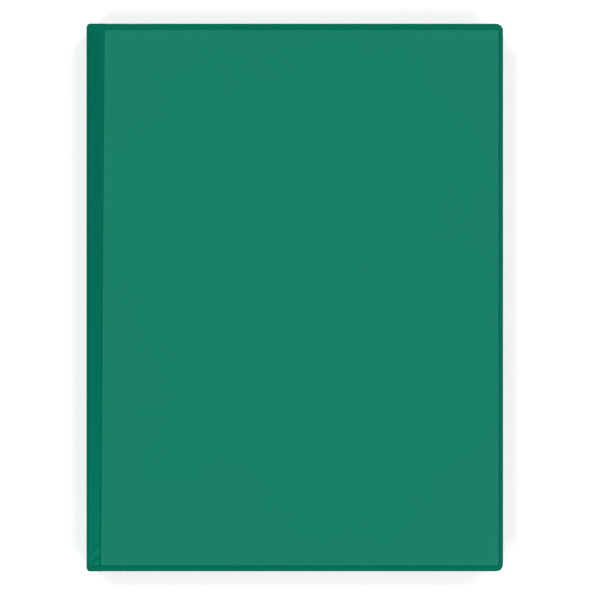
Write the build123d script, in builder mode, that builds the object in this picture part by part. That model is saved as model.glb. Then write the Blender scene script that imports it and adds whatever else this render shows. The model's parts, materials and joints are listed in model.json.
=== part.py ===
from build123d import *
from math import hypot
import os

# Stamp album: a case-bound stock book with a padded leatherette cover, A4 black pages with clear
# strips, and glassine interleaves. Millimetres.
#
# The album lies closed on its back cover. X runs from the spine (-) to the fore-edge (+), Y from the
# tail (-) to the head (+), and Z up. The origin is the middle of the footprint, on the surface.

os.makedirs("parts", exist_ok=True)

# ---- driving dimensions of the closed album
ALBUM_WIDTH = 232.0
ALBUM_HEIGHT = 305.0
ALBUM_THICKNESS = 21.0

# ---- case
SKIN = 0.5  # leatherette
FOAM = 1.8
BOARD = 1.6
TURN_IN = 0.4  # leatherette folded over onto the inner face of a board, pressed a little thinner
PASTEDOWN = 0.2
TURN_IN_WIDTH = 14.0
PASTEDOWN_MARGIN = 3.5
FORE_CORNER_RADIUS = 3.8
RIM_WIDTH = 3.0  # the sloped rim around the padded panel
RIM_DROP = 2.4
SPINE_SIDE_EASING = 0.6

SPINE_BOARD = 2.0
SPINE_BOARD_SQUARE = 5.0  # the spine board stops this far short of the head and the tail
SPINE_SKIN_RADIUS = 2.5
SPINE_END_RADIUS = 2.2  # of the outer corners at the head and tail, seen from above
SPINE_LINING = 0.3
SHOULDER_WALL = 0.5
JOINT_CLOTH = 0.4  # the leatherette in the bottom of a hinge groove

# ---- hinge lines between the spine and the two covers
HINGE_INSET = 4.0  # from the outer face of the spine, and from the outer face of each cover
HINGE_SLIT = 0.3  # half of the slit that stands for the bend of the cloth
LINING_SLIT = 0.5  # the same for the cloth glued under it
LINING_GAP = 0.05  # between that cloth and the plane of the pastedown's face
OPEN_GAP = 0.7  # between the spine and a cover's edge when the album lies open

# ---- block
LEAF_COUNT = 8
LEAF_PITCH = 1.5
PAGE_WIDTH = 210.0
PAGE_HEIGHT = 297.0
SQUARE = 4.5  # how far the covers stand out past the fore-edge of the pages
PAGE_CORNER_RADIUS = 2.5
CARD = 0.7
LINEN = 0.2
LINEN_FLAP = 0.1
LINEN_OVERLAP = 8.0
LEAF_AXIS_FROM_HINGE = 0.65  # the leaves bend this far inwards of the cover hinge lines
LEAF_ROOT_GAP = 0.15
BINDING_BLOCK_GAP = 0.3
BINDING_BLOCK_EASE = 0.2  # the block stops this far short of the outermost half pitch
LINEN_FORK = 0.6  # the length over which the linen divides in front of a card
INTERLEAF = 0.06
INTERLEAF_HEIGHT = 292.0
INTERLEAF_SQUARE = 3.0  # how far an interleaf stops short of the pages' fore-edge
BAND_DEPTH = 1.8
BAND_REACH = 2.4
BAND_FLAT = 0.05  # the flat left in the middle of a band's rounded edge

# ---- clear strips on the pages
STRIPS_PER_PAGE = 9
STRIP_PITCH = 32.0
STRIP_HEIGHT = 29.0
STRIP_LENGTH = 194.0
STRIP_THICKNESS = 0.12
STRIP_FILM = 0.05
STRIP_SEAL = 2.0
STRIP_FROM_LINEN = 2.0

# ---- worked out from the above
OUTER_X = -ALBUM_WIDTH / 2
FORE_X = ALBUM_WIDTH / 2
COVER = SKIN + FOAM + BOARD + TURN_IN + PASTEDOWN
COVER_INNER_Z = ALBUM_THICKNESS - COVER
BOARD_LOW_Z = COVER_INNER_Z + PASTEDOWN + TURN_IN
FOAM_LOW_Z = BOARD_LOW_Z + BOARD
HINGE_X = OUTER_X + HINGE_INSET
BACK_HINGE_Z = HINGE_INSET
FRONT_HINGE_Z = ALBUM_THICKNESS - HINGE_INSET
COVER_EDGE_X = HINGE_X + HINGE_INSET + OPEN_GAP
SPINE_BOARD_X = OUTER_X + SKIN
LINING_X = SPINE_BOARD_X + SPINE_BOARD
BLOCK_X = LINING_X + SPINE_LINING
LEAF_AXIS_X = HINGE_X + LEAF_AXIS_FROM_HINGE
BLOCK_FACE_X = LEAF_AXIS_X - BINDING_BLOCK_GAP
PAGE_FORE_X = FORE_X - SQUARE
CARD_X = PAGE_FORE_X - PAGE_WIDTH
MIDDLE_Z = ALBUM_THICKNESS / 2
BLOCK_HALF = LEAF_COUNT * LEAF_PITCH / 2 - BINDING_BLOCK_EASE
MIDDLE_PLANE = Plane.XY.offset(MIDDLE_Z)


def save(solid, name):
    """Label a finished piece and write it as the node of that name."""
    solid.label = name
    export_step(solid, f"parts/{name}.step")


def mirrored(solid):
    """The same piece for the back cover, mirrored in the album's middle plane."""
    with BuildPart() as copy:
        mirror(solid, about=MIDDLE_PLANE)
    return copy.part


def slab(low, high):
    """A plain rectangular piece between two opposite corners (x, y, z)."""
    with BuildPart() as piece:
        with BuildSketch(Plane.XY.offset(low[2])):
            with Locations(((low[0] + high[0]) / 2, (low[1] + high[1]) / 2)):
                Rectangle(high[0] - low[0], high[1] - low[1])
        extrude(amount=high[2] - low[2])
    return piece.part


def cover_form(inset, low_z):
    """The front cover's outer form, `inset` below its surface on every side, down to low_z.

    Its rim slopes down on the head, tail and fore-edge, and its spine side is a steep wall.
    """
    slope = RIM_DROP / RIM_WIDTH
    top_z = ALBUM_THICKNESS - inset
    # the sloped face moves inwards along its own normal, so it meets the sides and the top elsewhere
    width = RIM_WIDTH - inset + inset * (hypot(1, slope) - 1) / slope
    left_x = COVER_EDGE_X + inset
    right_x = FORE_X - inset
    with BuildPart() as form:
        with BuildSketch(Plane.XY.offset(low_z)) as outline:
            with Locations(((left_x + right_x) / 2, 0)):
                Rectangle(right_x - left_x, ALBUM_HEIGHT - 2 * inset)
            fillet(outline.vertices().group_by(Axis.X)[-1], FORE_CORNER_RADIUS - inset)
        extrude(amount=top_z - low_z)
        top = form.faces().sort_by(Axis.Z)[-1]
        spine_side, *rim = top.edges().sort_by(Axis.X)
        chamfer(rim, length=width, length2=width * slope, reference=top)
        top_spine_edge = form.faces().sort_by(Axis.Z)[-1].edges().sort_by(Axis.X)[0]
        chamfer(top_spine_edge, length=SPINE_SIDE_EASING)
    return form.part


def cover_skin():
    """Leatherette over the front cover: shell, turn-ins on three sides, and the cloth in the groove."""
    window = (COVER_EDGE_X + SKIN, FORE_X - TURN_IN_WIDTH, ALBUM_HEIGHT / 2 - TURN_IN_WIDTH)
    half = JOINT_CLOTH / 2
    with BuildPart() as skin:
        add(cover_form(0, BOARD_LOW_Z - TURN_IN))
        add(cover_form(SKIN, BOARD_LOW_Z), mode=Mode.SUBTRACT)
        with BuildSketch(Plane.XY.offset(BOARD_LOW_Z - TURN_IN)):
            with Locations(((window[0] + window[1]) / 2, 0)):
                Rectangle(window[1] - window[0], 2 * window[2])
        extrude(amount=TURN_IN, mode=Mode.SUBTRACT)
        with BuildSketch(Plane.XY.offset(FRONT_HINGE_Z - half)):
            with Locations(((HINGE_X + HINGE_SLIT + COVER_EDGE_X) / 2, 0)):
                Rectangle(COVER_EDGE_X - HINGE_X - HINGE_SLIT, ALBUM_HEIGHT)
        extrude(amount=JOINT_CLOTH)
    return skin.part


def cover_board():
    """The grey board under the foam. Its upper edges follow the slope of the rim."""
    with BuildPart() as board:
        add(cover_form(SKIN, BOARD_LOW_Z))
        split(bisect_by=Plane.XY.offset(FOAM_LOW_Z), keep=Keep.BOTTOM)
    return board.part


def cover_padding():
    """The foam that pads the panel."""
    with BuildPart() as padding:
        add(cover_form(SKIN, BOARD_LOW_Z))
        split(bisect_by=Plane.XY.offset(FOAM_LOW_Z), keep=Keep.TOP)
    return padding.part


def cover_pastedown():
    """Paper on the inside of the cover: it lies on the board, and steps over the turn-ins."""
    left_x = COVER_EDGE_X + SKIN
    inner_right_x = FORE_X - TURN_IN_WIDTH
    inner_half_y = ALBUM_HEIGHT / 2 - TURN_IN_WIDTH
    outer_right_x = FORE_X - PASTEDOWN_MARGIN
    outer_half_y = ALBUM_HEIGHT / 2 - PASTEDOWN_MARGIN
    with BuildPart() as pastedown:
        with BuildSketch(Plane.XY.offset(COVER_INNER_Z)):
            with Locations(((left_x + outer_right_x) / 2, 0)):
                Rectangle(outer_right_x - left_x, 2 * outer_half_y)
        extrude(amount=PASTEDOWN)
        with BuildSketch(Plane.XY.offset(COVER_INNER_Z + PASTEDOWN)):
            with Locations(((left_x + inner_right_x) / 2, 0)):
                Rectangle(inner_right_x - left_x, 2 * inner_half_y)
        extrude(amount=TURN_IN)
    return pastedown.part


def joint_lining():
    """Cloth glued under the leatherette of the hinge groove, on the inside of the case."""
    top_z = FRONT_HINGE_Z - JOINT_CLOTH / 2
    return slab(
        (HINGE_X + LINING_SLIT, -ALBUM_HEIGHT / 2 + PASTEDOWN_MARGIN, COVER_INNER_Z + LINING_GAP),
        (COVER_EDGE_X, ALBUM_HEIGHT / 2 - PASTEDOWN_MARGIN, top_z),
    )


def spine_form(inset):
    """The spine's outer form, `inset` below its surface on every side, rounded on its outer edges."""
    left_x = OUTER_X + inset
    right_x = LINING_X + SHOULDER_WALL - inset
    length = ALBUM_HEIGHT - 2 * inset
    with BuildPart() as form:
        with BuildSketch(Plane.XZ.offset(-length / 2)) as section:
            with Locations(((left_x + right_x) / 2, MIDDLE_Z)):
                Rectangle(right_x - left_x, ALBUM_THICKNESS - 2 * inset)
            fillet(section.vertices().group_by(Axis.X)[0], SPINE_SKIN_RADIUS - inset)
        extrude(amount=length)
        with BuildSketch(Plane.XY) as outline:
            with Locations(((left_x + right_x) / 2, 0)):
                Rectangle(right_x - left_x, length)
            fillet(outline.vertices().group_by(Axis.X)[0], SPINE_END_RADIUS - inset)
        extrude(amount=ALBUM_THICKNESS, mode=Mode.INTERSECT)
    return form.part


# ---- covers: the front pieces, and the same mirrored for the back
COVER_PIECES = {
    "cover_skin": cover_skin(),
    "board": cover_board(),
    "padding": cover_padding(),
    "pastedown": cover_pastedown(),
    "joint_lining": joint_lining(),
}
for piece_name, front_piece in COVER_PIECES.items():
    back_piece = mirrored(front_piece)
    save(front_piece, f"front_{piece_name}")
    save(back_piece, f"back_{piece_name}")

# ---- spine
with BuildPart() as spine_skin:
    add(spine_form(0))
    add(spine_form(SKIN), mode=Mode.SUBTRACT)
    # the inner side is open between the two grooves, where the binding block is glued in
    with BuildSketch(Plane.XZ):
        with Locations((LINING_X + SHOULDER_WALL / 2, MIDDLE_Z)):
            Rectangle(SHOULDER_WALL, FRONT_HINGE_Z - BACK_HINGE_Z)
    extrude(amount=ALBUM_HEIGHT / 2, both=True, mode=Mode.SUBTRACT)
    for hinge_z in (BACK_HINGE_Z, FRONT_HINGE_Z):
        with BuildSketch(Plane.XZ):
            with Locations(((LINING_X + HINGE_X - HINGE_SLIT) / 2, hinge_z)):
                Rectangle(HINGE_X - HINGE_SLIT - LINING_X, JOINT_CLOTH)
        extrude(amount=ALBUM_HEIGHT / 2, both=True)
save(spine_skin.part, "spine_skin")

with BuildPart() as spine_board:
    add(spine_form(SKIN))
    with BuildSketch(Plane.XZ):
        with Locations((SPINE_BOARD_X, MIDDLE_Z)):
            Rectangle(3 * SPINE_BOARD, ALBUM_THICKNESS)
    extrude(amount=ALBUM_HEIGHT / 2 - SPINE_BOARD_SQUARE, both=True, mode=Mode.INTERSECT)
save(spine_board.part, "spine_board")

lining_half = (FRONT_HINGE_Z - BACK_HINGE_Z - JOINT_CLOTH) / 2
save(
    slab(
        (LINING_X, -PAGE_HEIGHT / 2, MIDDLE_Z - lining_half),
        (BLOCK_X, PAGE_HEIGHT / 2, MIDDLE_Z + lining_half),
    ),
    "spine_lining",
)
save(
    slab(
        (BLOCK_X, -PAGE_HEIGHT / 2, MIDDLE_Z - BLOCK_HALF),
        (BLOCK_FACE_X, PAGE_HEIGHT / 2, MIDDLE_Z + BLOCK_HALF),
    ),
    "binding_block",
)

# ---- bands at the two ends of the binding block: a rounded roll on a tape
for name, side in (("head_band", 1), ("tail_band", -1)):
    with BuildPart() as band:
        with BuildSketch(Plane.XZ.offset(-side * PAGE_HEIGHT / 2)) as band_outline:
            with Locations((BLOCK_X + BAND_REACH / 2, MIDDLE_Z)):
                Rectangle(BAND_REACH, 2 * BLOCK_HALF)
        extrude(amount=-side * BAND_DEPTH)
        fillet(band.edges().filter_by(Axis.Z).group_by(Axis.X)[-1], BAND_DEPTH / 2 - BAND_FLAT)
    save(band.part, name)


def sheet_z(step):
    """The height of a sheet, counted in half pitches down from the top leaf."""
    return MIDDLE_Z + (LEAF_COUNT - 1) * LEAF_PITCH / 2 - step * LEAF_PITCH / 2


def leaf_card(z):
    """The black card of one leaf."""
    with BuildPart() as card:
        with BuildSketch(Plane.XY.offset(z - CARD / 2)) as outline:
            with Locations(((CARD_X + PAGE_FORE_X) / 2, 0)):
                Rectangle(PAGE_WIDTH, PAGE_HEIGHT)
            fillet(outline.vertices().group_by(Axis.X)[-1], PAGE_CORNER_RADIUS)
        extrude(amount=CARD)
    return card.part


def leaf_hinge(z):
    """The linen hinge of one leaf: a root strip that forks into a flap on each face of the card."""
    root_x = LEAF_AXIS_X + LEAF_ROOT_GAP
    fork_x = CARD_X - LINEN_FORK
    flap_x = CARD_X + LINEN_OVERLAP
    outer = CARD / 2 + LINEN_FLAP
    with BuildPart() as hinge:
        with BuildSketch(Plane.XZ):
            with BuildLine():
                Polyline(
                    (root_x, z - LINEN / 2),
                    (fork_x, z - LINEN / 2),
                    (CARD_X, z - outer),
                    (flap_x, z - outer),
                    (flap_x, z - CARD / 2),
                    (CARD_X, z - CARD / 2),
                    (CARD_X, z + CARD / 2),
                    (flap_x, z + CARD / 2),
                    (flap_x, z + outer),
                    (CARD_X, z + outer),
                    (fork_x, z + LINEN / 2),
                    (root_x, z + LINEN / 2),
                    close=True,
                )
            make_face()
        extrude(amount=PAGE_HEIGHT / 2, both=True)
    return hinge.part


def leaf_strips(z):
    """Clear strips on both faces of a leaf: each is sealed along its foot and ends, open at its top."""
    left_x = CARD_X + LINEN_OVERLAP + STRIP_FROM_LINEN
    middle_x = left_x + STRIP_LENGTH / 2
    first_y = -STRIP_PITCH * (STRIPS_PER_PAGE - 1) / 2
    pocket = STRIP_THICKNESS - STRIP_FILM
    rows = [(middle_x, first_y + STRIP_PITCH * row) for row in range(STRIPS_PER_PAGE)]
    pockets = [(x, y + STRIP_SEAL / 2) for x, y in rows]
    with BuildPart() as strips:
        for side in (1, -1):
            with BuildSketch(Plane.XY.offset(z + side * CARD / 2)):
                with Locations(*rows):
                    Rectangle(STRIP_LENGTH, STRIP_HEIGHT)
            extrude(amount=side * STRIP_THICKNESS)
            with BuildSketch(Plane.XY.offset(z + side * CARD / 2)):
                with Locations(*pockets):
                    Rectangle(STRIP_LENGTH - 2 * STRIP_SEAL, STRIP_HEIGHT - STRIP_SEAL)
            extrude(amount=side * pocket, mode=Mode.SUBTRACT)
    return strips.part


# ---- leaves, from the top of the closed album down
for number in range(1, LEAF_COUNT + 1):
    leaf_z = sheet_z(2 * (number - 1))
    save(leaf_card(leaf_z), f"leaf_{number}_card")
    save(leaf_hinge(leaf_z), f"leaf_{number}_hinge")
    save(leaf_strips(leaf_z), f"leaf_{number}_strips")

# ---- glassine interleaves, one under each leaf but the last
for number in range(1, LEAF_COUNT):
    middle = sheet_z(2 * number - 1)
    save(
        slab(
            (LEAF_AXIS_X + LEAF_ROOT_GAP, -INTERLEAF_HEIGHT / 2, middle - INTERLEAF / 2),
            (PAGE_FORE_X - INTERLEAF_SQUARE, INTERLEAF_HEIGHT / 2, middle + INTERLEAF / 2),
        ),
        f"interleaf_{number}",
    )
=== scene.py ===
"""Looks of the stamp album: leatherette case, foam, endpapers, linen-hinged card leaves with clear
strips, glassine interleaves and the bands. Metres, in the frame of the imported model."""

import collections
import math
import random

import bpy
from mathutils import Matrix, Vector
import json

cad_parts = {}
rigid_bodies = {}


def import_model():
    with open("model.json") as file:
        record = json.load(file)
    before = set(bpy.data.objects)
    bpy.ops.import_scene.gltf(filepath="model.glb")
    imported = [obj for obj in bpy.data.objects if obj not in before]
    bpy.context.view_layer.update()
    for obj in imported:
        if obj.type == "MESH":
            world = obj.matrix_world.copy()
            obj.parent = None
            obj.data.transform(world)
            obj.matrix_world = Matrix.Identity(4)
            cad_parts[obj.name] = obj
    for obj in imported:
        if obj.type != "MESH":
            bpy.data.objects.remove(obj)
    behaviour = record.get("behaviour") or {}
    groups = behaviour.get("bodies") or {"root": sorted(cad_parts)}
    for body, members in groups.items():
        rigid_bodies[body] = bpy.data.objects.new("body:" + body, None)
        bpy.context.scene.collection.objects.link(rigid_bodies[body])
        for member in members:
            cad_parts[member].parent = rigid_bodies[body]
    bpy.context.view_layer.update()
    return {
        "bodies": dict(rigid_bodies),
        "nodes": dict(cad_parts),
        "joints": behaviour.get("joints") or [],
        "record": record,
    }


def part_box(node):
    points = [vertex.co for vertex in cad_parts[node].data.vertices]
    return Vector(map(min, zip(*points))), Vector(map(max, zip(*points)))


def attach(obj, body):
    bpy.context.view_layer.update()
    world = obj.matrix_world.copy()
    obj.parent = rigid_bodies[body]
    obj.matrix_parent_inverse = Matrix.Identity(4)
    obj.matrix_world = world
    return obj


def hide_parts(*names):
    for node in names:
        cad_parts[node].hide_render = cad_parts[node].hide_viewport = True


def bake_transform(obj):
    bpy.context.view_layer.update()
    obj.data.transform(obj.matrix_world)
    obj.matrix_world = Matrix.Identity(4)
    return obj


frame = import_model()

MM = 0.001

# ---- places, all from the frame
COVER_LOW, COVER_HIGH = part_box("front_cover_skin")
BOARD_LOW, BOARD_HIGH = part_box("front_board")
SPINE_LOW, SPINE_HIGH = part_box("spine_skin")
PASTE_LOW, PASTE_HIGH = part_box("front_pastedown")
LINING_LOW, LINING_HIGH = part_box("front_joint_lining")
BLOCK_LOW, BLOCK_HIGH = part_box("binding_block")
JOINTS = {joint["name"]: joint for joint in frame["joints"]}
THICK = SPINE_HIGH[2]
MIDDLE_Z = THICK / 2
HALF_Y = COVER_HIGH[1]
FORE_X = COVER_HIGH[0]
SPINE_X = SPINE_LOW[0]
SKIN = FORE_X - BOARD_HIGH[0]
EDGE_X = BOARD_LOW[0] - SKIN  # the covers' side towards the spine
UNDER_Z = COVER_LOW[2]  # the front cover's inner face
HINGE_X = JOINTS["front_cover_hinge"]["pos_m"][0]
LEAF_AXIS_X = JOINTS["leaf_1_turn"]["pos_m"][0]
LEAVES = sorted(name for name in frame["bodies"] if name.startswith("leaf_"))
INTERLEAVES = sorted(name for name in frame["bodies"] if name.startswith("interleaf_"))

# ---- thickness of what is made here
LEATHER = 0.4 * MM
ENDPAPER = 0.15 * MM
JOINT_CLOTH = 0.2 * MM
LINEN = 0.1 * MM
GLASSINE = 0.04 * MM


# ---- numbers and lines
def even(low, high, steps):
    """Numbers from low to high, both included."""
    return [low + (high - low) * i / steps for i in range(steps + 1)]


def clamp(value):
    return min(1.0, max(0.0, value))


def bezier(controls, steps):
    """Points along a cubic curve with four control points, both ends included."""
    points = []
    for t in even(0.0, 1.0, steps):
        s = 1 - t
        weights = (s * s * s, 3 * s * s * t, 3 * s * t * t, t * t * t)
        points.append(tuple(sum(w * p[axis] for w, p in zip(weights, controls)) for axis in range(2)))
    return points


# ---- mesh helpers
def add_mesh(name, points, faces, smooth=True):
    mesh = bpy.data.meshes.new(name)
    mesh.from_pydata(points, [], faces)
    mesh.validate()
    mesh.update()
    if smooth:
        mesh.shade_smooth()
    piece = bpy.data.objects.new(name, mesh)
    bpy.context.scene.collection.objects.link(piece)
    return piece


def grid_faces(rows, columns, closed=False):
    """Quads between rows of points, each with the same number of columns."""
    faces = []
    for start in range(0, (rows - 1) * columns, columns):
        for column in range(columns if closed else columns - 1):
            a, b = start + column, start + (column + 1) % columns
            faces.append((a, b, b + columns, a + columns))
    return faces


def stacked(loops, both_ends=False):
    """Points and faces of a surface through closed loops, capped at the last one or at both ends."""
    columns = len(loops[0])
    last = (len(loops) - 1) * columns
    points = [point for loop in loops for point in loop]
    faces = grid_faces(len(loops), columns, closed=True)
    if both_ends:
        faces.append(tuple(reversed(range(columns))))
    faces.append(tuple(range(last, last + columns)))
    return points, faces


def flipped(faces):
    """The same faces, facing the other way."""
    return [tuple(reversed(face)) for face in faces]


def case_mesh(name, points, faces, turn):
    """A mesh made for the front cover, or turned over in the album's middle plane for the back cover."""
    if turn:
        points = [(x, y, THICK - z) for x, y, z in points]
        faces = flipped(faces)
    return add_mesh(name, points, faces)


def extruded(name, section, ys):
    """A closed solid: a section of (x, z), counter-clockwise seen from the tail, along Y."""
    points, faces = stacked([[(x, y, z) for x, z in section] for y in ys], both_ends=True)
    return add_mesh(name, points, flipped(faces))


def solidify(piece, thickness):
    """Thickness below the face side of a surface, with crisp cut edges."""
    uses = collections.Counter(key for face in piece.data.polygons for key in face.edge_keys)
    for edge in piece.data.edges:
        edge.use_edge_sharp = uses[edge.key] == 1
    modifier = piece.modifiers.new("thickness", "SOLIDIFY")
    modifier.thickness = thickness
    modifier.offset = -1
    modifier.use_even_offset = False
    modifier.use_quality_normals = True


def set_value(piece, name, values):
    """A number on each vertex, which a material can read by name."""
    attribute = piece.data.attributes.new(name, "FLOAT", "POINT")
    attribute.data.foreach_set("value", values)


def keep_sharp(piece, degrees):
    """Smooth shading, but not across edges sharper than this."""
    piece.data.set_sharp_from_angle(angle=math.radians(degrees))


# ---- material helpers
def new_material(name):
    material = bpy.data.materials.new(name)
    material.use_nodes = True
    return material, material.node_tree, material.node_tree.nodes["Principled BSDF"]


def node(tree, kind, **values):
    """A new node with its sockets and properties set by name."""
    made = tree.nodes.new(kind)
    for key, value in values.items():
        if key in made.inputs:
            made.inputs[key].default_value = value
        else:
            setattr(made, key, value)
    return made


def place_of(tree):
    return tree.nodes.new("ShaderNodeTexCoord").outputs["Object"]


def noise(tree, place, scale, detail=3.0, roughness=0.5):
    made = node(tree, "ShaderNodeTexNoise", Scale=scale, Detail=detail, Roughness=roughness)
    tree.links.new(place, made.inputs["Vector"])
    return made.outputs["Fac"]


def ramp(tree, value, low, high, low_color, high_color):
    """One colour up to the low value, another from the high value, and a blend between."""
    made = tree.nodes.new("ShaderNodeValToRGB")
    ends = ((low, low_color), (high, high_color))
    for element, (position, color) in zip(made.color_ramp.elements, ends):
        element.position = position
        element.color = (*color, 1)
    tree.links.new(value, made.inputs["Fac"])
    return made.outputs["Color"]


def spread(tree, value, low, high):
    """A value from 0 to 1 mapped to low to high."""
    made = node(tree, "ShaderNodeMapRange", **{"To Min": low, "To Max": high})
    tree.links.new(value, made.inputs["Value"])
    return made.outputs["Result"]


def mixed(tree, factor, color_a, color_b):
    made = node(tree, "ShaderNodeMix", data_type="RGBA")
    tree.links.new(factor, made.inputs["Factor"])
    tree.links.new(color_a, made.inputs["A"])
    tree.links.new(color_b, made.inputs["B"])
    return made.outputs["Result"]


def maths(tree, operation, *values):
    """The result of a Math node on numbers or other nodes' outputs."""
    made = node(tree, "ShaderNodeMath", operation=operation)
    for socket, value in zip(made.inputs, values):
        if isinstance(value, (int, float)):
            socket.default_value = value
        else:
            tree.links.new(value, socket)
    return made.outputs[0]


def wave(tree, place, axis, half_length):
    """A sine wave along one axis."""
    split = tree.nodes.new("ShaderNodeSeparateXYZ")
    tree.links.new(place, split.inputs[0])
    return maths(tree, "SINE", maths(tree, "MULTIPLY", split.outputs[axis], math.pi / half_length))


def bump(tree, shader, height, distance, strength):
    made = node(tree, "ShaderNodeBump", Strength=strength, Distance=distance)
    tree.links.new(height, made.inputs["Height"])
    tree.links.new(made.outputs["Normal"], shader.inputs["Normal"])


# ---- materials
def leatherette(name, specular, red_with_painted_sheen):
    """Green coated book cloth: a fine pebble grain, satin, with painted shade: a darker tone mixed in by a
    value on each vertex.
    """
    material, tree, shader = new_material(name)
    place = place_of(tree)
    broad = noise(tree, place, 9.0, 2.0)
    # the panel's colour, whose red is partly painted sheen
    panel = ramp(tree, broad, 0.3, 0.7, (red_with_painted_sheen, 0.187, 0.118), (red_with_painted_sheen * 1.08, 0.193, 0.122))
    # the darker tone of painted shade
    painted_shade = ramp(tree, broad, 0.3, 0.7, (0.0002, 0.103, 0.062), (0.0003, 0.107, 0.065))
    shade = node(tree, "ShaderNodeAttribute", attribute_name="painted_shade")
    tree.links.new(mixed(tree, shade.outputs["Fac"], panel, painted_shade), shader.inputs["Base Color"])
    cells = node(tree, "ShaderNodeTexVoronoi", Scale=1300.0, feature="SMOOTH_F1", Smoothness=0.8)
    tree.links.new(place, cells.inputs["Vector"])
    fine = noise(tree, place, 4200.0, 2.0)
    grain = maths(tree, "ADD", cells.outputs["Distance"], maths(tree, "MULTIPLY", fine, 0.3))
    bump(tree, shader, grain, distance=0.02 * MM, strength=0.5)
    tree.links.new(spread(tree, noise(tree, place, 700.0, 2.0), 0.37, 0.43), shader.inputs["Roughness"])
    shader.inputs["Specular IOR Level"].default_value = specular
    return material


def card_stock(name, low_color, high_color, scale, roughness):
    """Paper, card, board or foam: short fibres or fine pores in two tones."""
    material, tree, shader = new_material(name)
    fibres = noise(tree, place_of(tree), scale, 5.0, 0.65)
    tree.links.new(ramp(tree, fibres, 0.3, 0.7, low_color, high_color), shader.inputs["Base Color"])
    bump(tree, shader, fibres, distance=0.04 * MM, strength=0.35)
    tree.links.new(spread(tree, fibres, roughness - 0.06, roughness + 0.08), shader.inputs["Roughness"])
    return material


def woven(name, low_color, high_color, thread, roughness):
    """Plain-woven cloth with threads of one width along X and Y."""
    material, tree, shader = new_material(name)
    place = place_of(tree)
    across, along = wave(tree, place, "X", thread), wave(tree, place, "Y", thread)
    weave = maths(tree, "ABSOLUTE", maths(tree, "MULTIPLY", across, along))
    height = maths(tree, "ADD", weave, maths(tree, "MULTIPLY", noise(tree, place, 1200.0), 0.5))
    tree.links.new(ramp(tree, height, 0.2, 1.2, low_color, high_color), shader.inputs["Base Color"])
    bump(tree, shader, height, distance=0.06 * MM, strength=0.6)
    shader.inputs["Roughness"].default_value = roughness
    shader.inputs["Sheen Weight"].default_value = 0.15
    return material


def clear_film():
    """Clear film: it reflects and lets through, with faint handling marks in its gloss."""
    material, tree, shader = new_material("clear_film")
    shader.inputs["Base Color"].default_value = (0.96, 0.98, 0.98, 1)
    shader.inputs["Transmission Weight"].default_value = 1.0
    shader.inputs["IOR"].default_value = 1.42
    marks = noise(tree, place_of(tree), 160.0, 4.0, 0.6)
    tree.links.new(spread(tree, marks, 0.02, 0.11), shader.inputs["Roughness"])
    bump(tree, shader, noise(tree, place_of(tree), 35.0, 1.0), distance=0.15 * MM, strength=0.3)
    return material


def glassine():
    """Milky translucent paper with a soft cloud in its fibres."""
    material, tree, shader = new_material("glassine")
    cloud = noise(tree, place_of(tree), 130.0)
    color = ramp(tree, cloud, 0.3, 0.7, (0.74, 0.74, 0.71), (0.80, 0.80, 0.77))
    tree.links.new(color, shader.inputs["Base Color"])
    tree.links.new(spread(tree, cloud, 0.42, 0.48), shader.inputs["Alpha"])
    bump(tree, shader, cloud, distance=0.03 * MM, strength=0.3)
    shader.inputs["Roughness"].default_value = 0.38
    return material


def band_cloth():
    """Two-colour thread wound over the roll of a head band: green and natural stripes."""
    material, tree, shader = new_material("band_cloth")
    place = place_of(tree)
    stripes = maths(tree, "MULTIPLY_ADD", wave(tree, place, "Z", 1 * MM), 0.5, 0.5)
    color = ramp(tree, stripes, 0.46, 0.54, (0.005, 0.15, 0.09), (0.62, 0.58, 0.46))
    tree.links.new(color, shader.inputs["Base Color"])
    bump(tree, shader, noise(tree, place, 2500.0), distance=0.05 * MM, strength=0.5)
    shader.inputs["Roughness"].default_value = 0.6
    shader.inputs["Sheen Weight"].default_value = 0.2
    return material


# a shaded copy of the leatherette, with less red and less specular: less painted sheen
SHADED_LEATHERETTE = leatherette("leatherette_pressed", specular=0.02, red_with_painted_sheen=0.0012)
MATERIALS = {
    "leatherette": leatherette("leatherette", specular=0.1, red_with_painted_sheen=0.0052),
    "endpaper": card_stock("endpaper", (0.72, 0.705, 0.65), (0.79, 0.78, 0.73), 900.0, 0.8),
    "cloth": woven("cloth", (0.42, 0.40, 0.34), (0.62, 0.60, 0.54), 0.35 * MM, 0.85),
    "linen": woven("linen", (0.006, 0.006, 0.007), (0.035, 0.035, 0.037), 0.3 * MM, 0.8),
    "black_card": card_stock("black_card", (0.008, 0.008, 0.009), (0.017, 0.017, 0.018), 700.0, 0.7),
    "greyboard": card_stock("greyboard", (0.24, 0.225, 0.2), (0.36, 0.34, 0.31), 500.0, 0.85),
    "foam": card_stock("foam", (0.62, 0.6, 0.5), (0.75, 0.73, 0.62), 1600.0, 0.86),
    "clear_film": clear_film(),
    "glassine": glassine(),
    "band_cloth": band_cloth(),
}


def give_material(piece, slot):
    piece.data.materials.clear()
    piece.data.materials.append(MATERIALS[slot])


def finish_as(piece, slot):
    """Give a piece the material of a slot."""
    give_material(piece, slot)


# ---- the covers' form: rings one above the other, from the inner face up to the middle of the panel
HEAD_RIM = 3.4 * MM
HEAD_LIP = 1.4 * MM  # how much wider the panel's lip rolls at the head
LIP_ROLL = 6  # the higher, the closer to the lip this widening stays
TAIL_RIM = 3.9 * MM
FORE_RIM = 3.1 * MM
FORE_RADIUS = 3.8 * MM
FORE_RADIUS_LOSS = 2.6 * MM  # from the side of the cover to the lip
SPINE_RADIUS = 0.5 * MM
SPINE_RADIUS_GAIN = 0.9 * MM
LIP_RADIUS = 1.0 * MM
PANEL_RADIUS = 1.5 * MM
LEAST_RADIUS = 0.3 * MM
LIP_LEAN = 0.45 * MM  # how far the wall towards the spine leans in over the board
CROWN = 0.25 * MM
ARC_STEPS = 6
SIDE_STEPS = 24

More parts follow.
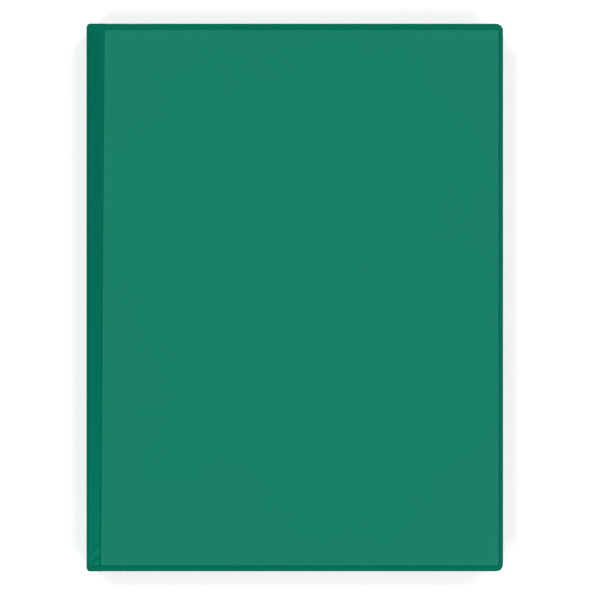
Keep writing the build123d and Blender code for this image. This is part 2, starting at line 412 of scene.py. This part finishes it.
# the boards sit a little askew: the groove is wider at the head than at the tail
SKEW_HEAD = 1.3 * MM
SKEW_TAIL = 0.95 * MM
SKEW_REACH = 20 * MM  # this far in from the groove, everything is square again
SQUARE_INSET = 0.6 * MM  # a turn-in is square from this inset on

TURN_IN = 14 * MM
TURN_IN_END = 3 * MM  # on the side towards the spine it is only this wide
FOLD_END = 1.5 * MM  # and its fold keeps within this
TURN_IN_MITRE = 0.12 * MM
# painted shade on the turn-ins
TURN_IN_SHADE = 0.5
# the turn-ins' fold and the foot of the sides, in mm: inset, lift, and height of the mitre
FOLD_SECTION = ((4.0, 0.0, 0.12), (0.6, 0.0, 0.12), (0.25, 0.05, 0.05), (0.06, 0.2, 0.0), (0.0, 0.45, 0.0))
# painted shade on the fold and the foot of the sides
FOLD_SHADE = 0.9
# the rim's section from the board's side up to the panel: share of the rim's width, drop in mm, and painted
# shade, which paints the rim's darker and lighter bands
RIM_SECTION = (
    (0.0, 2.6, 1.0), (0.02, 2.2, 1.0), (0.08, 1.9, 0.8), (0.19, 1.68, 0.52), (0.36, 1.44, 0.48),
    (0.55, 1.22, 0.52), (0.70, 1.05, 0.6), (0.79, 0.72, 0.6), (0.88, 0.36, 0.44), (0.98, 0.13, 0.08),
    (1.12, 0.03, 0.0), (1.3, 0.0, 0.0),
)
# the panel's pillow: inset from the cover's sides in mm, and share of the crown's height
PANEL_SECTION = ((6, 0.1), (9, 0.35), (14, 0.65), (24, 0.88), (45, 1.0), (75, 1.0), (100, 1.0))


def lean_of(y, inwards):
    """How far the spine-side edge is askew at y; only a share of it may lean in over the board."""
    return y / HALF_Y * (SKEW_TAIL if y < 0 else SKEW_HEAD * inwards)


def corner_arc(x, y, radius, first, z, mitre):
    """A quarter circle round (x, y) from an angle, with its middle point lifted by the mitre."""
    arc = []
    for i in range(ARC_STEPS + 1):
        angle = first + i / ARC_STEPS * math.pi / 2
        lift = mitre if i == ARC_STEPS // 2 else 0.0
        arc.append((x + radius * math.cos(angle), y + radius * math.sin(angle), z + lift))
    return arc


def ring(left, right, tail, head, radius_left, radius_right, z, askew=0.0, inwards=0.0, mitre=0.0):
    """A closed loop of points round a rectangle with rounded corners, counter-clockwise from above.

    Near the spine it takes a share, askew, of the boards' skew. The mitre lifts the fore-edge corners.
    """
    arcs = (
        corner_arc(left + radius_left, tail + radius_left, radius_left, math.pi, z, 0.0),
        corner_arc(right - radius_right, tail + radius_right, radius_right, 1.5 * math.pi, z, mitre),
        corner_arc(right - radius_right, head - radius_right, radius_right, 0.0, z, mitre),
        corner_arc(left + radius_left, head - radius_left, radius_left, 0.5 * math.pi, z, 0.0),
    )
    loop = []
    for arc, next_arc in zip(arcs, arcs[1:] + arcs[:1]):
        # the straight side to the next corner is divided, so that long faces stay regular
        (x0, y0, _), (x1, y1, _) = arc[-1], next_arc[0]
        loop += arc + [(x0 + (x1 - x0) * t, y0 + (y1 - y0) * t, z) for t in even(0.0, 1.0, SIDE_STEPS)[1:-1]]
    return [(x + askew * lean_of(y, inwards) * max(0.0, 1 - (x - EDGE_X) / SKEW_REACH), y, z)
            for x, y, z in loop]


def fold_ring(inset, left, z, askew, mitre):
    """A ring at one inset from the cover's fore-edge, head and tail, with its own side at the left."""
    radius = max(FORE_RADIUS - inset, LEAST_RADIUS)
    return ring(left, FORE_X - inset, -HALF_Y + inset, HALF_Y - inset, min(radius, SPINE_RADIUS), radius,
                z, askew, 0.0, mitre)


def rim_inset(share, side):
    """How far in from the head (side 1) or the tail (-1) a share of the rim's width lies."""
    return HEAD_RIM * share + HEAD_LIP * min(1.0, share) ** LIP_ROLL if side > 0 else TAIL_RIM * share


def rim_ring(share, z, clear=0.0):
    """A ring at a share of the rim's width: 0 at the side of the cover, 1 at the panel's lip."""
    left = EDGE_X + LIP_LEAN * share ** 1.5 + clear
    right = FORE_X - FORE_RIM * share - clear
    tail = -HALF_Y + rim_inset(share, -1) + clear
    head = HALF_Y - rim_inset(share, 1) - clear
    return ring(left, right, tail, head, SPINE_RADIUS + SPINE_RADIUS_GAIN * share,
                max(FORE_RADIUS - FORE_RADIUS_LOSS * share, LIP_RADIUS), z, 1.0, min(1.0, share))


def panel_ring(inset, z):
    """A ring on the padded panel, square with the edge askew only near the spine."""
    return ring(EDGE_X + inset, FORE_X - inset, -HALF_Y + inset, HALF_Y - inset, PANEL_RADIUS, PANEL_RADIUS,
                z, max(0.0, 1 - inset / SKEW_REACH), 1.0)


# ---- leatherette over the two covers
SHADED_COPY_SHARE = 0.8  # the rim has the shaded copy of the material, with less painted sheen, up to this share of its width
# little painted shade on the steep wall towards the spine
WALL_SHADE = 0.12
WALL_WIDTH = 2.5 * MM
WALL_FADE = 4 * MM  # the wall's painted shade fades over this length, and ends this far from head and tail


def cover_rings():
    """Rings of the front cover's leatherette, from the turn-ins over the sides and rim to the panel.

    Each is (points, how much painted shade, how much painted shade on the steep wall towards the spine).
    """
    top = THICK - CROWN
    inmost = fold_ring(TURN_IN, EDGE_X + TURN_IN_END, UNDER_Z, 0.0, TURN_IN_MITRE)
    rings = [(inmost, TURN_IN_SHADE, TURN_IN_SHADE)]
    for inset, lift, mitre in FOLD_SECTION:
        left = EDGE_X + min(inset * MM, FOLD_END)
        askew = max(0.0, 1 - inset * MM / SQUARE_INSET)
        fold = fold_ring(inset * MM, left, UNDER_Z + lift * MM, askew, mitre * MM)
        rings.append((fold, FOLD_SHADE, FOLD_SHADE))
    rings += [(rim_ring(share, top - drop * MM), shade, WALL_SHADE * clamp(1 - share))
              for share, drop, shade in RIM_SECTION]
    rings += [(panel_ring(inset * MM, top + CROWN * share), 0.0, 0.0) for inset, share in PANEL_SECTION]
    return rings


def on_wall(point):
    """1 on the wall towards the spine, less towards its two ends, and 0 on the other sides."""
    x, y, _ = point
    return clamp((HALF_Y - abs(y) - WALL_FADE) / WALL_FADE) if x < EDGE_X + WALL_WIDTH else 0.0


def cover_leather(name, body, node_name, turn):
    """One cover's sheet, with painted shade on its turn-ins, sides and rim, where it takes the shaded copy of
    the material.
    """
    rings = cover_rings()
    points, faces = stacked([loop for loop, _, _ in rings])
    piece = case_mesh(name, points, faces, turn)
    set_value(piece, "painted_shade", [shade + (wall - shade) * on_wall(point)
                                 for loop, shade, wall in rings for point in loop])
    solidify(piece, LEATHER)
    finish_as(piece, "leatherette")
    # the shaded copy of the leatherette, with less red and less specular: less painted sheen
    piece.data.materials.append(SHADED_LEATHERETTE)
    unshaded_rings = len(PANEL_SECTION) + sum(share > SHADED_COPY_SHARE for share, _, _ in RIM_SECTION)
    shaded_faces = (len(rings) - unshaded_rings) * len(rings[0][0])
    for face in piece.data.polygons[:shaded_faces]:
        face.material_index = 1
    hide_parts(node_name)
    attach(piece, body)


# ---- leatherette over a joint and half of the spine
SHOULDER_RADIUS = 2.6 * MM
RIDGE_X = SPINE_X + SHOULDER_RADIUS
FOOT_X = EDGE_X + 0.4 * MM
FOOT_LEAN = 0.6  # the foot follows this share of the edge's lean over the board
FOOT_Z = THICK - 1.35 * MM
RIM_FOOT_Z = THICK - CROWN - RIM_SECTION[0][1] * MM
BACK_SHADE = 0.3  # painted shade on the flat of the spine, as a share of what is left to full shade
SHOULDER_SHADE = 0.8  # the same painted shade on the outer side of the shoulder
SHOULDER_FADE = 2.4 * MM

# the two ends of the spine: a roll, then the turn-in under it
END_ROLL = 0.5 * MM
END_RADIUS = 2.2 * MM  # of the spine's corners, seen from above
END_REACH = 10 * MM
CAP_DEPTH = 2.25 * MM
CAP_SHIFT = 0.25 * MM  # how much further from the back of the spine the turn-in lies
JOINT_CAP_DEPTH = 1.7 * MM  # under the groove
JOINT_CAP_REACH = 2 * MM  # from the ridge to where the turn-in has that depth
NO_FOLD = 0.02 * MM  # least step from one column of the turn-in to the next
RIM_ROWS_END = 0.9  # past this share of the rim's width, the rows get the painted shade of the groove
# inset from the end of the spine, and depth
CAP_SECTION = ((0.0, 1.2 * MM), (0.06 * MM, CAP_DEPTH - 0.1 * MM), (0.4 * MM, CAP_DEPTH), (3 * MM, CAP_DEPTH))

CREASE = 0.2 * MM  # the creases go this far up and down
CREASE_PITCH = 6.7 * MM
CREASE_REACH = 22 * MM
CREASE_SLANT = 0.83
CREASE_PHASE = 5.47
HEAD_CREASE = 0.15  # the creases at the head, as a share of those at the tail
CREASE_RISE = 1.5 * MM  # they rise over this width from the ridge
CREASE_FALL = 1.2 * MM  # and end over this width before the foot
FINE_LENGTH = 28 * MM  # the stretch at each end that has its rows closer together

GROOVE_SHADE = 0.6  # painted shade in the groove, half-way along the spine
HEAD_SHADE = 0.25  # added at the head, and taken off at the tail
END_RELIEF = 0.14  # taken off at both
RIDGE_HIGHLIGHT = 0.1  # painted highlight: shade taken off along the ridge, towards the tail
RIDGE_WIDTH = 0.6 * MM
CREASE_LIGHT_AND_SHADE = 0.45  # painted light at the top of a crease, where shade is taken off, and painted shade added at its bottom
FOOT_LIGHT = 0.7  # painted light: the share of the painted shade taken off along the foot
FOOT_INSET = 0.3 * MM  # all of it is taken off up to here from the foot
FOOT_WIDTH = 0.9 * MM  # and less and less over this width


def half_spine_section():
    """(x, z, edge) from the middle of the spine, over its shoulder and down into the front groove.

    The edge is how much painted shade the outer edge of the spine adds.
    """
    centre_z = THICK - SHOULDER_RADIUS
    section = [(SPINE_X, z, BACK_SHADE) for z in even(MIDDLE_Z, centre_z, 4)[:-1]]
    for angle in even(math.pi, math.pi / 2, 9):
        x = RIDGE_X + SHOULDER_RADIUS * math.cos(angle)
        edge = SHOULDER_SHADE * clamp(1 - (x - SPINE_X) / SHOULDER_FADE)
        section.append((x, centre_z + SHOULDER_RADIUS * math.sin(angle), edge))
    slope = bezier(((RIDGE_X, THICK), (RIDGE_X + 1.2 * MM, THICK - 0.3 * MM),
                    (FOOT_X - 2.2 * MM, FOOT_Z + 0.35 * MM), (FOOT_X, FOOT_Z)), 20)[1:]
    return section + [(x, z, 0.0) for x, z in slope]


def section_normals(section):
    normals = []
    for i in range(len(section)):
        before, after = section[max(i - 1, 0)], section[min(i + 1, len(section) - 1)]
        dx, dz = after[0] - before[0], after[1] - before[1]
        length = math.hypot(dx, dz)
        normals.append((-dz / length, dx / length))
    return normals


def end_rows(side):
    """Rows from the straight part of the spine round one end: (y, turned in, rim's drop, painted shade or
    None).
    """
    rows = []
    for share, drop, shade in reversed(RIM_SECTION):
        inset = rim_inset(share, side)
        if inset > END_ROLL:
            rows.append((HALF_Y - inset, 0.0, drop, shade if share < RIM_ROWS_END else None))
    last_drop = rows[-1][2]
    for angle in even(0.0, math.pi / 2, 4):
        y = HALF_Y - END_ROLL * (1 - math.sin(angle))
        rows.append((y, END_ROLL * (1 - math.cos(angle)), last_drop, 1.0))
    rows += [(HALF_Y - inset, depth, last_drop, 1.0) for inset, depth in CAP_SECTION]
    return [(side * y, depth, drop, shade) for y, depth, drop, shade in rows]


def spine_rows():
    """All rows from the tail to the head, closer together where the groove creases."""
    tail, head = end_rows(-1)[::-1], end_rows(1)
    first, last = tail[-1][0], head[0][0]
    near_tail, near_head = -HALF_Y + FINE_LENGTH, HALF_Y - FINE_LENGTH
    ys = even(first, near_tail, 28) + even(near_tail, near_head, 50)[1:] + even(near_head, last, 20)[1:]
    return tail[:-1] + [(y, 0.0, 0.0, None) for y in ys[:-1]] + head


def crease(x, y):
    """Slanting creases of the groove near its two ends, the tail's the deeper, from -1 to 1."""
    near = clamp(1 - (HALF_Y + y) / CREASE_REACH) + HEAD_CREASE * clamp(1 - (HALF_Y - y) / CREASE_REACH)
    inside = clamp((x - RIDGE_X) / CREASE_RISE) * clamp((FOOT_X - x) / CREASE_FALL)
    turns = (y - CREASE_SLANT * (x - RIDGE_X)) / CREASE_PITCH
    return near * inside * math.sin(2 * math.pi * turns + CREASE_PHASE)


def joint_shade(x, y):
    """Painted shade in the groove, most towards the head, least along its foot and towards the tail, with a
    painted highlight on the ridge and painted light and shade on the creases.
    """
    t = y / HALF_Y
    ridge = max(0.0, -t) * clamp(1 - abs(x - RIDGE_X) / RIDGE_WIDTH)
    foot = clamp(1 - (FOOT_X - FOOT_INSET - x) / FOOT_WIDTH)
    shade = GROOVE_SHADE + HEAD_SHADE * t - END_RELIEF * t * t
    shade -= RIDGE_HIGHLIGHT * ridge + CREASE_LIGHT_AND_SHADE * crease(x, y)
    return shade * (1 - FOOT_LIGHT * foot)


def rounded_end(x, y):
    """y drawn in where the spine's corner is rounded."""
    from_side = END_RADIUS - (x - SPINE_X)
    if from_side <= 0:
        return y
    drawn_in = END_RADIUS - math.sqrt(max(0.0, END_RADIUS ** 2 - from_side ** 2))
    return y - math.copysign(drawn_in * clamp(1 - (HALF_Y - abs(y)) / END_REACH), y)


def spine_row(section, normals, y, inwards, drop):
    """The section at y, leaning with the boards, turned in at the ends and lowered beside the rims."""
    fall = drop / RIM_SECTION[0][1]
    reached = SPINE_X
    points = []
    for (x, z, _), (nx, nz) in zip(section, normals):
        share = clamp((x - RIDGE_X) / JOINT_CAP_REACH)
        depth = min(inwards, CAP_DEPTH - share * (CAP_DEPTH - JOINT_CAP_DEPTH))
        shift = lean_of(y, FOOT_LEAN) * clamp((x - RIDGE_X) / (FOOT_X - RIDGE_X))
        shift += CAP_SHIFT * (1 - share) * depth / CAP_DEPTH
        # the turn-in never doubles back under the ridge
        reached = max(x + shift - nx * depth, reached + (NO_FOLD if depth > 0 and nz > 0 else 0.0))
        new_z = z - nz * depth
        lowered = max(0.0, new_z - RIM_FOOT_Z) * fall * max(0.0, nz)
        points.append((reached, rounded_end(reached, y), new_z - lowered + CREASE * crease(x, y)))
    return points


def fold_at_joint(piece):
    """Bake the transform of a piece that crosses a joint between its cover and the spine into its mesh;
    nothing is bent.
    """
    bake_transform(piece)


def spine_leather(name, turn):
    """The sheet over one groove and half of the spine."""
    section = half_spine_section()
    normals = section_normals(section)
    rows = spine_rows()
    points, painted_shade = [], []
    for y, inwards, drop, row_shade in rows:
        points += spine_row(section, normals, y, inwards, drop)
        for x, _, edge in section:
            shade = joint_shade(x, y) if row_shade is None else row_shade
            painted_shade.append(shade + (1 - shade) * edge)
    piece = case_mesh(name, points, grid_faces(len(rows), len(section)), turn)
    set_value(piece, "painted_shade", painted_shade)
    solidify(piece, LEATHER)
    finish_as(piece, "leatherette")
    # the whole sheet takes the shaded copy of the leatherette, with less painted sheen
    piece.data.materials[0] = SHADED_LEATHERETTE
    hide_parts("spine_skin")
    fold_at_joint(piece)


cover_leather("front_cover_leatherette", "front_cover", "front_cover_skin", turn=False)
cover_leather("back_cover_leatherette", "back_cover", "back_cover_skin", turn=True)
spine_leather("front_joint_leatherette", turn=False)
spine_leather("back_joint_leatherette", turn=True)

# ---- foam pads under the leatherette
FOAM_CLEAR = LEATHER + 0.15 * MM
FOAM_BASE = 0.02  # the pad's lowest rings stand this far above the board, in mm
FOAM_STEP = 0.1  # and each next one at least this much higher


def foam_pad(name, body, node_name, turn):
    """The padding, which follows the rim and the panel under the leatherette."""
    top = THICK - CROWN - FOAM_CLEAR
    rings = []
    for i, (share, drop, _) in enumerate(RIM_SECTION):
        least = BOARD_HIGH[2] + (FOAM_BASE + FOAM_STEP * i) * MM
        rings.append(rim_ring(share, max(top - drop * MM, least), FOAM_CLEAR))
    rings += [panel_ring(inset * MM, top + CROWN * share) for inset, share in PANEL_SECTION]
    points, faces = stacked(rings, both_ends=True)
    piece = case_mesh(name, points, faces, turn)
    finish_as(piece, "foam")
    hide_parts(node_name)
    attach(piece, body)


foam_pad("front_foam", "front_cover", "front_padding", turn=False)
foam_pad("back_foam", "back_cover", "back_padding", turn=True)

# ---- endpapers: the turn-ins show through as a low step, given as inset and lift in mm
ENDPAPER_SECTION = (
    (0.0, 0.19), (0.02, 0.04), (0.3, 0.0), (6.0, 0.0), (9.0, 0.0), (9.9, 0.03), (10.8, 0.14), (11.6, 0.2),
    (13.0, 0.21), (30.0, 0.21), (60.0, 0.21),
)
ENDPAPER_SPINE_SHARE = 0.2  # the step lies closer to the edge towards the spine
ENDPAPER_RADII = (0.2 * MM, 0.6 * MM)


def endpaper_sheet(name, body, node_name, turn):
    """The pastedown, glued over the board and the turn-ins."""
    rings = []
    for inset, lift in ENDPAPER_SECTION:
        d = inset * MM
        rings.append(ring(PASTE_LOW[0] + ENDPAPER_SPINE_SHARE * d, PASTE_HIGH[0] - d, PASTE_LOW[1] + d,
                          PASTE_HIGH[1] - d, *ENDPAPER_RADII, PASTE_LOW[2] + lift * MM))
    points, faces = stacked(rings)
    piece = case_mesh(name, points, flipped(faces), turn)
    solidify(piece, ENDPAPER)
    finish_as(piece, "endpaper")
    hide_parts(node_name)
    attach(piece, body)


endpaper_sheet("front_endpaper", "front_cover", "front_pastedown", turn=False)
endpaper_sheet("back_endpaper", "back_cover", "back_pastedown", turn=True)

# ---- leaves: linen at their hinges, and glassine between them
LEAF_BEND_END = LEAF_AXIS_X + 3 * MM  # up to here a sheet has its points close together
HALF_ROOT = 0.1 * MM
FORK_LENGTH = 1.4 * MM
CARD_CLEAR = 0.01 * MM
COCKLE = 0.028 * MM  # height of one of the waves in the glassine
COCKLE_RISE = 30 * MM
WAVES = 5
WAVE_RATES = (25, 70)  # radians per metre
ALONG_SPINE = 1.3  # the waves are this much closer along the spine


def fold_at_block(piece):
    """Bake the transform of a sheet between its own body and the spine, beside the binding block, into its
    mesh; nothing is bent.
    """
    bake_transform(piece)


def linen_profile(card_x, card_half, end_x):
    """(x, height above the card's middle) of the hinge's upper half: out over the card and back inside."""
    outer = card_half + LINEN
    fork = card_x - FORK_LENGTH
    root_xs = even(BLOCK_HIGH[0] - 0.25 * MM, LEAF_BEND_END, 20) + even(LEAF_BEND_END + 0.5 * MM, fork, 8)
    profile = [(x, HALF_ROOT) for x in root_xs]
    profile += bezier(((fork, HALF_ROOT), (fork + 0.6 * MM, HALF_ROOT),
                       (card_x - 0.4 * MM, outer), (card_x + 0.3 * MM, outer)), 5)[1:]
    profile += [(x, outer) for x in even(card_x + 1 * MM, end_x - 0.15 * MM, 6)]
    profile += [(end_x, card_half + LINEN * 0.4), (end_x, card_half)]
    return profile + [(card_x + 0.1 * MM, card_half), (card_x - 0.05 * MM, card_half * 0.4)]


def leaf_hinge(leaf):
    """Linen that joins a card to the binding block: one root that forks into a flap on each face."""
    low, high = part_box(f"{leaf}_hinge")
    card_low, card_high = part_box(f"{leaf}_card")
    z = (card_low[2] + card_high[2]) / 2
    upper = linen_profile(card_low[0], (card_high[2] - card_low[2]) / 2 + CARD_CLEAR, high[0])
    section = [(x, z - h) for x, h in upper] + [(x, z + h) for x, h in reversed(upper)]
    piece = extruded(f"{leaf}_linen", section, even(low[1], high[1], 36))
    keep_sharp(piece, 50)
    finish_as(piece, "linen")
    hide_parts(f"{leaf}_hinge")
    fold_at_block(piece)


def interleaf_sheet(interleaf):
    """A glassine sheet with a faint cockle, held in the binding block by its spine edge."""
    low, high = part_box(interleaf)
    z = (low[2] + high[2]) / 2
    draw = random.Random(interleaf)
    waves = [(draw.uniform(*WAVE_RATES), draw.uniform(*WAVE_RATES), draw.uniform(0, 6.3))
             for _ in range(WAVES)]

    def cockle(x, y):
        total = sum(math.sin(x * a + y * b * ALONG_SPINE + c) for a, b, c in waves)
        return COCKLE * clamp((x - LEAF_BEND_END) / COCKLE_RISE) * total

    xs = even(BLOCK_HIGH[0] - 0.2 * MM, LEAF_BEND_END, 16) + even(LEAF_BEND_END + 3 * MM, high[0], 60)
    ys = even(low[1], high[1], 70)
    points = [(x, y, z + cockle(x, y)) for y in ys for x in xs]
    piece = add_mesh(f"{interleaf}_glassine", points, grid_faces(len(ys), len(xs)))
    solidify(piece, GLASSINE)
    finish_as(piece, "glassine")
    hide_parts(interleaf)
    fold_at_block(piece)


for leaf in LEAVES:
    leaf_hinge(leaf)
for interleaf in INTERLEAVES:
    interleaf_sheet(interleaf)

# ---- cloth linings across the joints, on the inside of the case
LINING_OVERLAP = 4.4 * MM  # under the pastedown


def joint_lining(name, node_name, turn):
    """Cloth from under the pastedown, along the groove and up to the spine's lining."""
    paste_x, under = PASTE_LOW[0], LINING_LOW[2]
    section = [(x, under + 0.4 * MM) for x in even(paste_x + LINING_OVERLAP, paste_x + 0.8 * MM, 4)]
    section += [(x, under + 0.02 * MM) for x in even(paste_x - 0.1 * MM, HINGE_X + 0.6 * MM, 12)]
    section += bezier(((HINGE_X + 0.5 * MM, under), (HINGE_X + 0.1 * MM, under),
                       (HINGE_X - 0.3 * MM, under - 0.1 * MM),
                       (HINGE_X - 0.75 * MM, under - 0.25 * MM)), 6)[1:]
    ys = even(LINING_LOW[1], LINING_HIGH[1], 40)
    points = [(x, y, z) for y in ys for x, z in section]
    piece = case_mesh(name, points, grid_faces(len(ys), len(section)), turn)
    solidify(piece, JOINT_CLOTH)
    finish_as(piece, "cloth")
    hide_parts(node_name)
    fold_at_joint(piece)


joint_lining("front_joint_cloth", "front_joint_lining", turn=False)
joint_lining("back_joint_cloth", "back_joint_lining", turn=True)

# ---- binding block and bands
ROOT_HOLLOW = 0.35 * MM  # how deep the block is grooved between two linen roots
THREAD = 0.5 * MM
THREAD_DEPTH = 0.09  # as a share of the roll's radius
TAPE = 0.7 * MM
ROLL_STEPS = 20


def binding_block():
    """The glued linen roots: one rounded ridge for each leaf."""
    x_low, x_high = BLOCK_LOW[0], BLOCK_HIGH[0]
    pitch = (BLOCK_HIGH[2] - BLOCK_LOW[2]) / len(LEAVES)
    section = [(x_low, BLOCK_LOW[2]), (x_low, BLOCK_HIGH[2])]
    for i in range(len(LEAVES)):
        top = BLOCK_HIGH[2] - i * pitch
        for t in even(0.02, 0.98, 8):
            section.append((x_high - ROOT_HOLLOW * (1 - math.sin(math.pi * t) ** 0.6), top - t * pitch))
    piece = extruded("binding_block_linen", section[::-1], even(BLOCK_LOW[1], BLOCK_HIGH[1], 20))
    keep_sharp(piece, 40)
    finish_as(piece, "linen")
    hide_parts("binding_block")
    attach(piece, "spine")


def end_band(node_name):
    """A roll wound with thread, on a flat tape that is glued to the block's end."""
    low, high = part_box(node_name)
    middle_y = (low[1] + high[1]) / 2
    outward = 1 if middle_y > 0 else -1
    inner_y = low[1] if outward > 0 else high[1]
    radius = (high[1] - low[1]) / 2
    roll_x = high[0] - radius
    loops = []
    for z in even(low[2], high[2], 116):
        wound = radius * (1 - THREAD_DEPTH * abs(math.sin(math.pi * (z - low[2]) / THREAD)))
        loop = [(roll_x + wound * math.cos(angle), middle_y + outward * wound * math.sin(angle), z)
                for angle in even(-math.pi / 2, math.pi / 2, ROLL_STEPS)]
        loops.append(loop + [(low[0], inner_y + outward * TAPE, z), (low[0], inner_y, z)])
    points, faces = stacked(loops, both_ends=True)
    piece = add_mesh(f"{node_name}_roll", points, faces if outward > 0 else flipped(faces))
    keep_sharp(piece, 60)
    finish_as(piece, "band_cloth")
    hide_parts(node_name)
    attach(piece, "spine")


binding_block()
end_band("head_band")
end_band("tail_band")

# ---- CAD nodes that keep their shape
SLOTS = {subpart["node"]: subpart["material_slot"] for subpart in frame["record"]["subparts"]}
for name, piece in frame["nodes"].items():
    give_material(piece, SLOTS[name])

# ---- floor, lights, camera
WHITE = (1, 1, 1, 1)
FLOOR = 3.0  # half of its side, in metres
FLOOR_GAP = 0.05 * MM  # between the floor and the album
FLOOR_GLOW = 0.26  # keeps the shadow round the album faint
LAMP_ELEVATION = 46  # degrees
LAMP_DISTANCE = 1.8
LAMP_SIZE = 0.8
LAMP_POWER = 10.7  # watts
WORLD_STRENGTH = 0.2
LENS = 120.0
SENSOR = 36.0
FRAME_WIDTH = 333.8 * MM  # what the picture spans at the height of the cover's rim
RIM_Z = THICK - 1.5 * MM
OFFSET = (2.9 * MM, -1.4 * MM)  # of the camera from the album's middle


def add_floor():
    material, _, shader = new_material("floor")
    shader.inputs["Base Color"].default_value = (0.97, 0.97, 0.97, 1)
    shader.inputs["Roughness"].default_value = 0.9
    shader.inputs["Specular IOR Level"].default_value = 0.1
    shader.inputs["Emission Color"].default_value = WHITE
    shader.inputs["Emission Strength"].default_value = FLOOR_GLOW
    corners = [(-FLOOR, -FLOOR, 0), (FLOOR, -FLOOR, 0), (FLOOR, FLOOR, 0), (-FLOOR, FLOOR, 0)]
    floor = add_mesh("floor", corners, [(0, 1, 2, 3)], smooth=False)
    floor.location.z = -FLOOR_GAP
    floor.data.materials.append(material)


def softbox(name, azimuth):
    """A square lamp that faces the album, from an azimuth in degrees."""
    light = bpy.data.lights.new(name, "AREA")
    light.shape = "SQUARE"
    light.size = LAMP_SIZE
    light.energy = LAMP_POWER
    lamp = bpy.data.objects.new(name, light)
    a, e = math.radians(azimuth), math.radians(LAMP_ELEVATION)
    direction = Vector((math.cos(e) * math.cos(a), math.cos(e) * math.sin(a), math.sin(e)))
    lamp.location = direction * LAMP_DISTANCE
    lamp.rotation_euler = direction.to_track_quat("Z", "Y").to_euler()
    bpy.context.scene.collection.objects.link(lamp)


def add_world():
    world = bpy.data.worlds.new("studio")
    world.use_nodes = True
    background = world.node_tree.nodes["Background"]
    background.inputs["Color"].default_value = WHITE
    background.inputs["Strength"].default_value = WORLD_STRENGTH
    bpy.context.scene.world = world
    bpy.context.scene.view_settings.view_transform = "Standard"


def add_camera():
    """Straight above the cover, looking down."""
    camera_data = bpy.data.cameras.new("camera")
    camera_data.lens = LENS
    camera_data.sensor_width = SENSOR
    camera = bpy.data.objects.new("camera", camera_data)
    camera.location = (*OFFSET, RIM_Z + FRAME_WIDTH * LENS / SENSOR)
    bpy.context.scene.collection.objects.link(camera)
    bpy.context.scene.camera = camera


add_floor()
for number, azimuth in enumerate((45, 135, 225, 315), start=1):
    softbox(f"softbox_{number}", azimuth)
add_world()
add_camera()
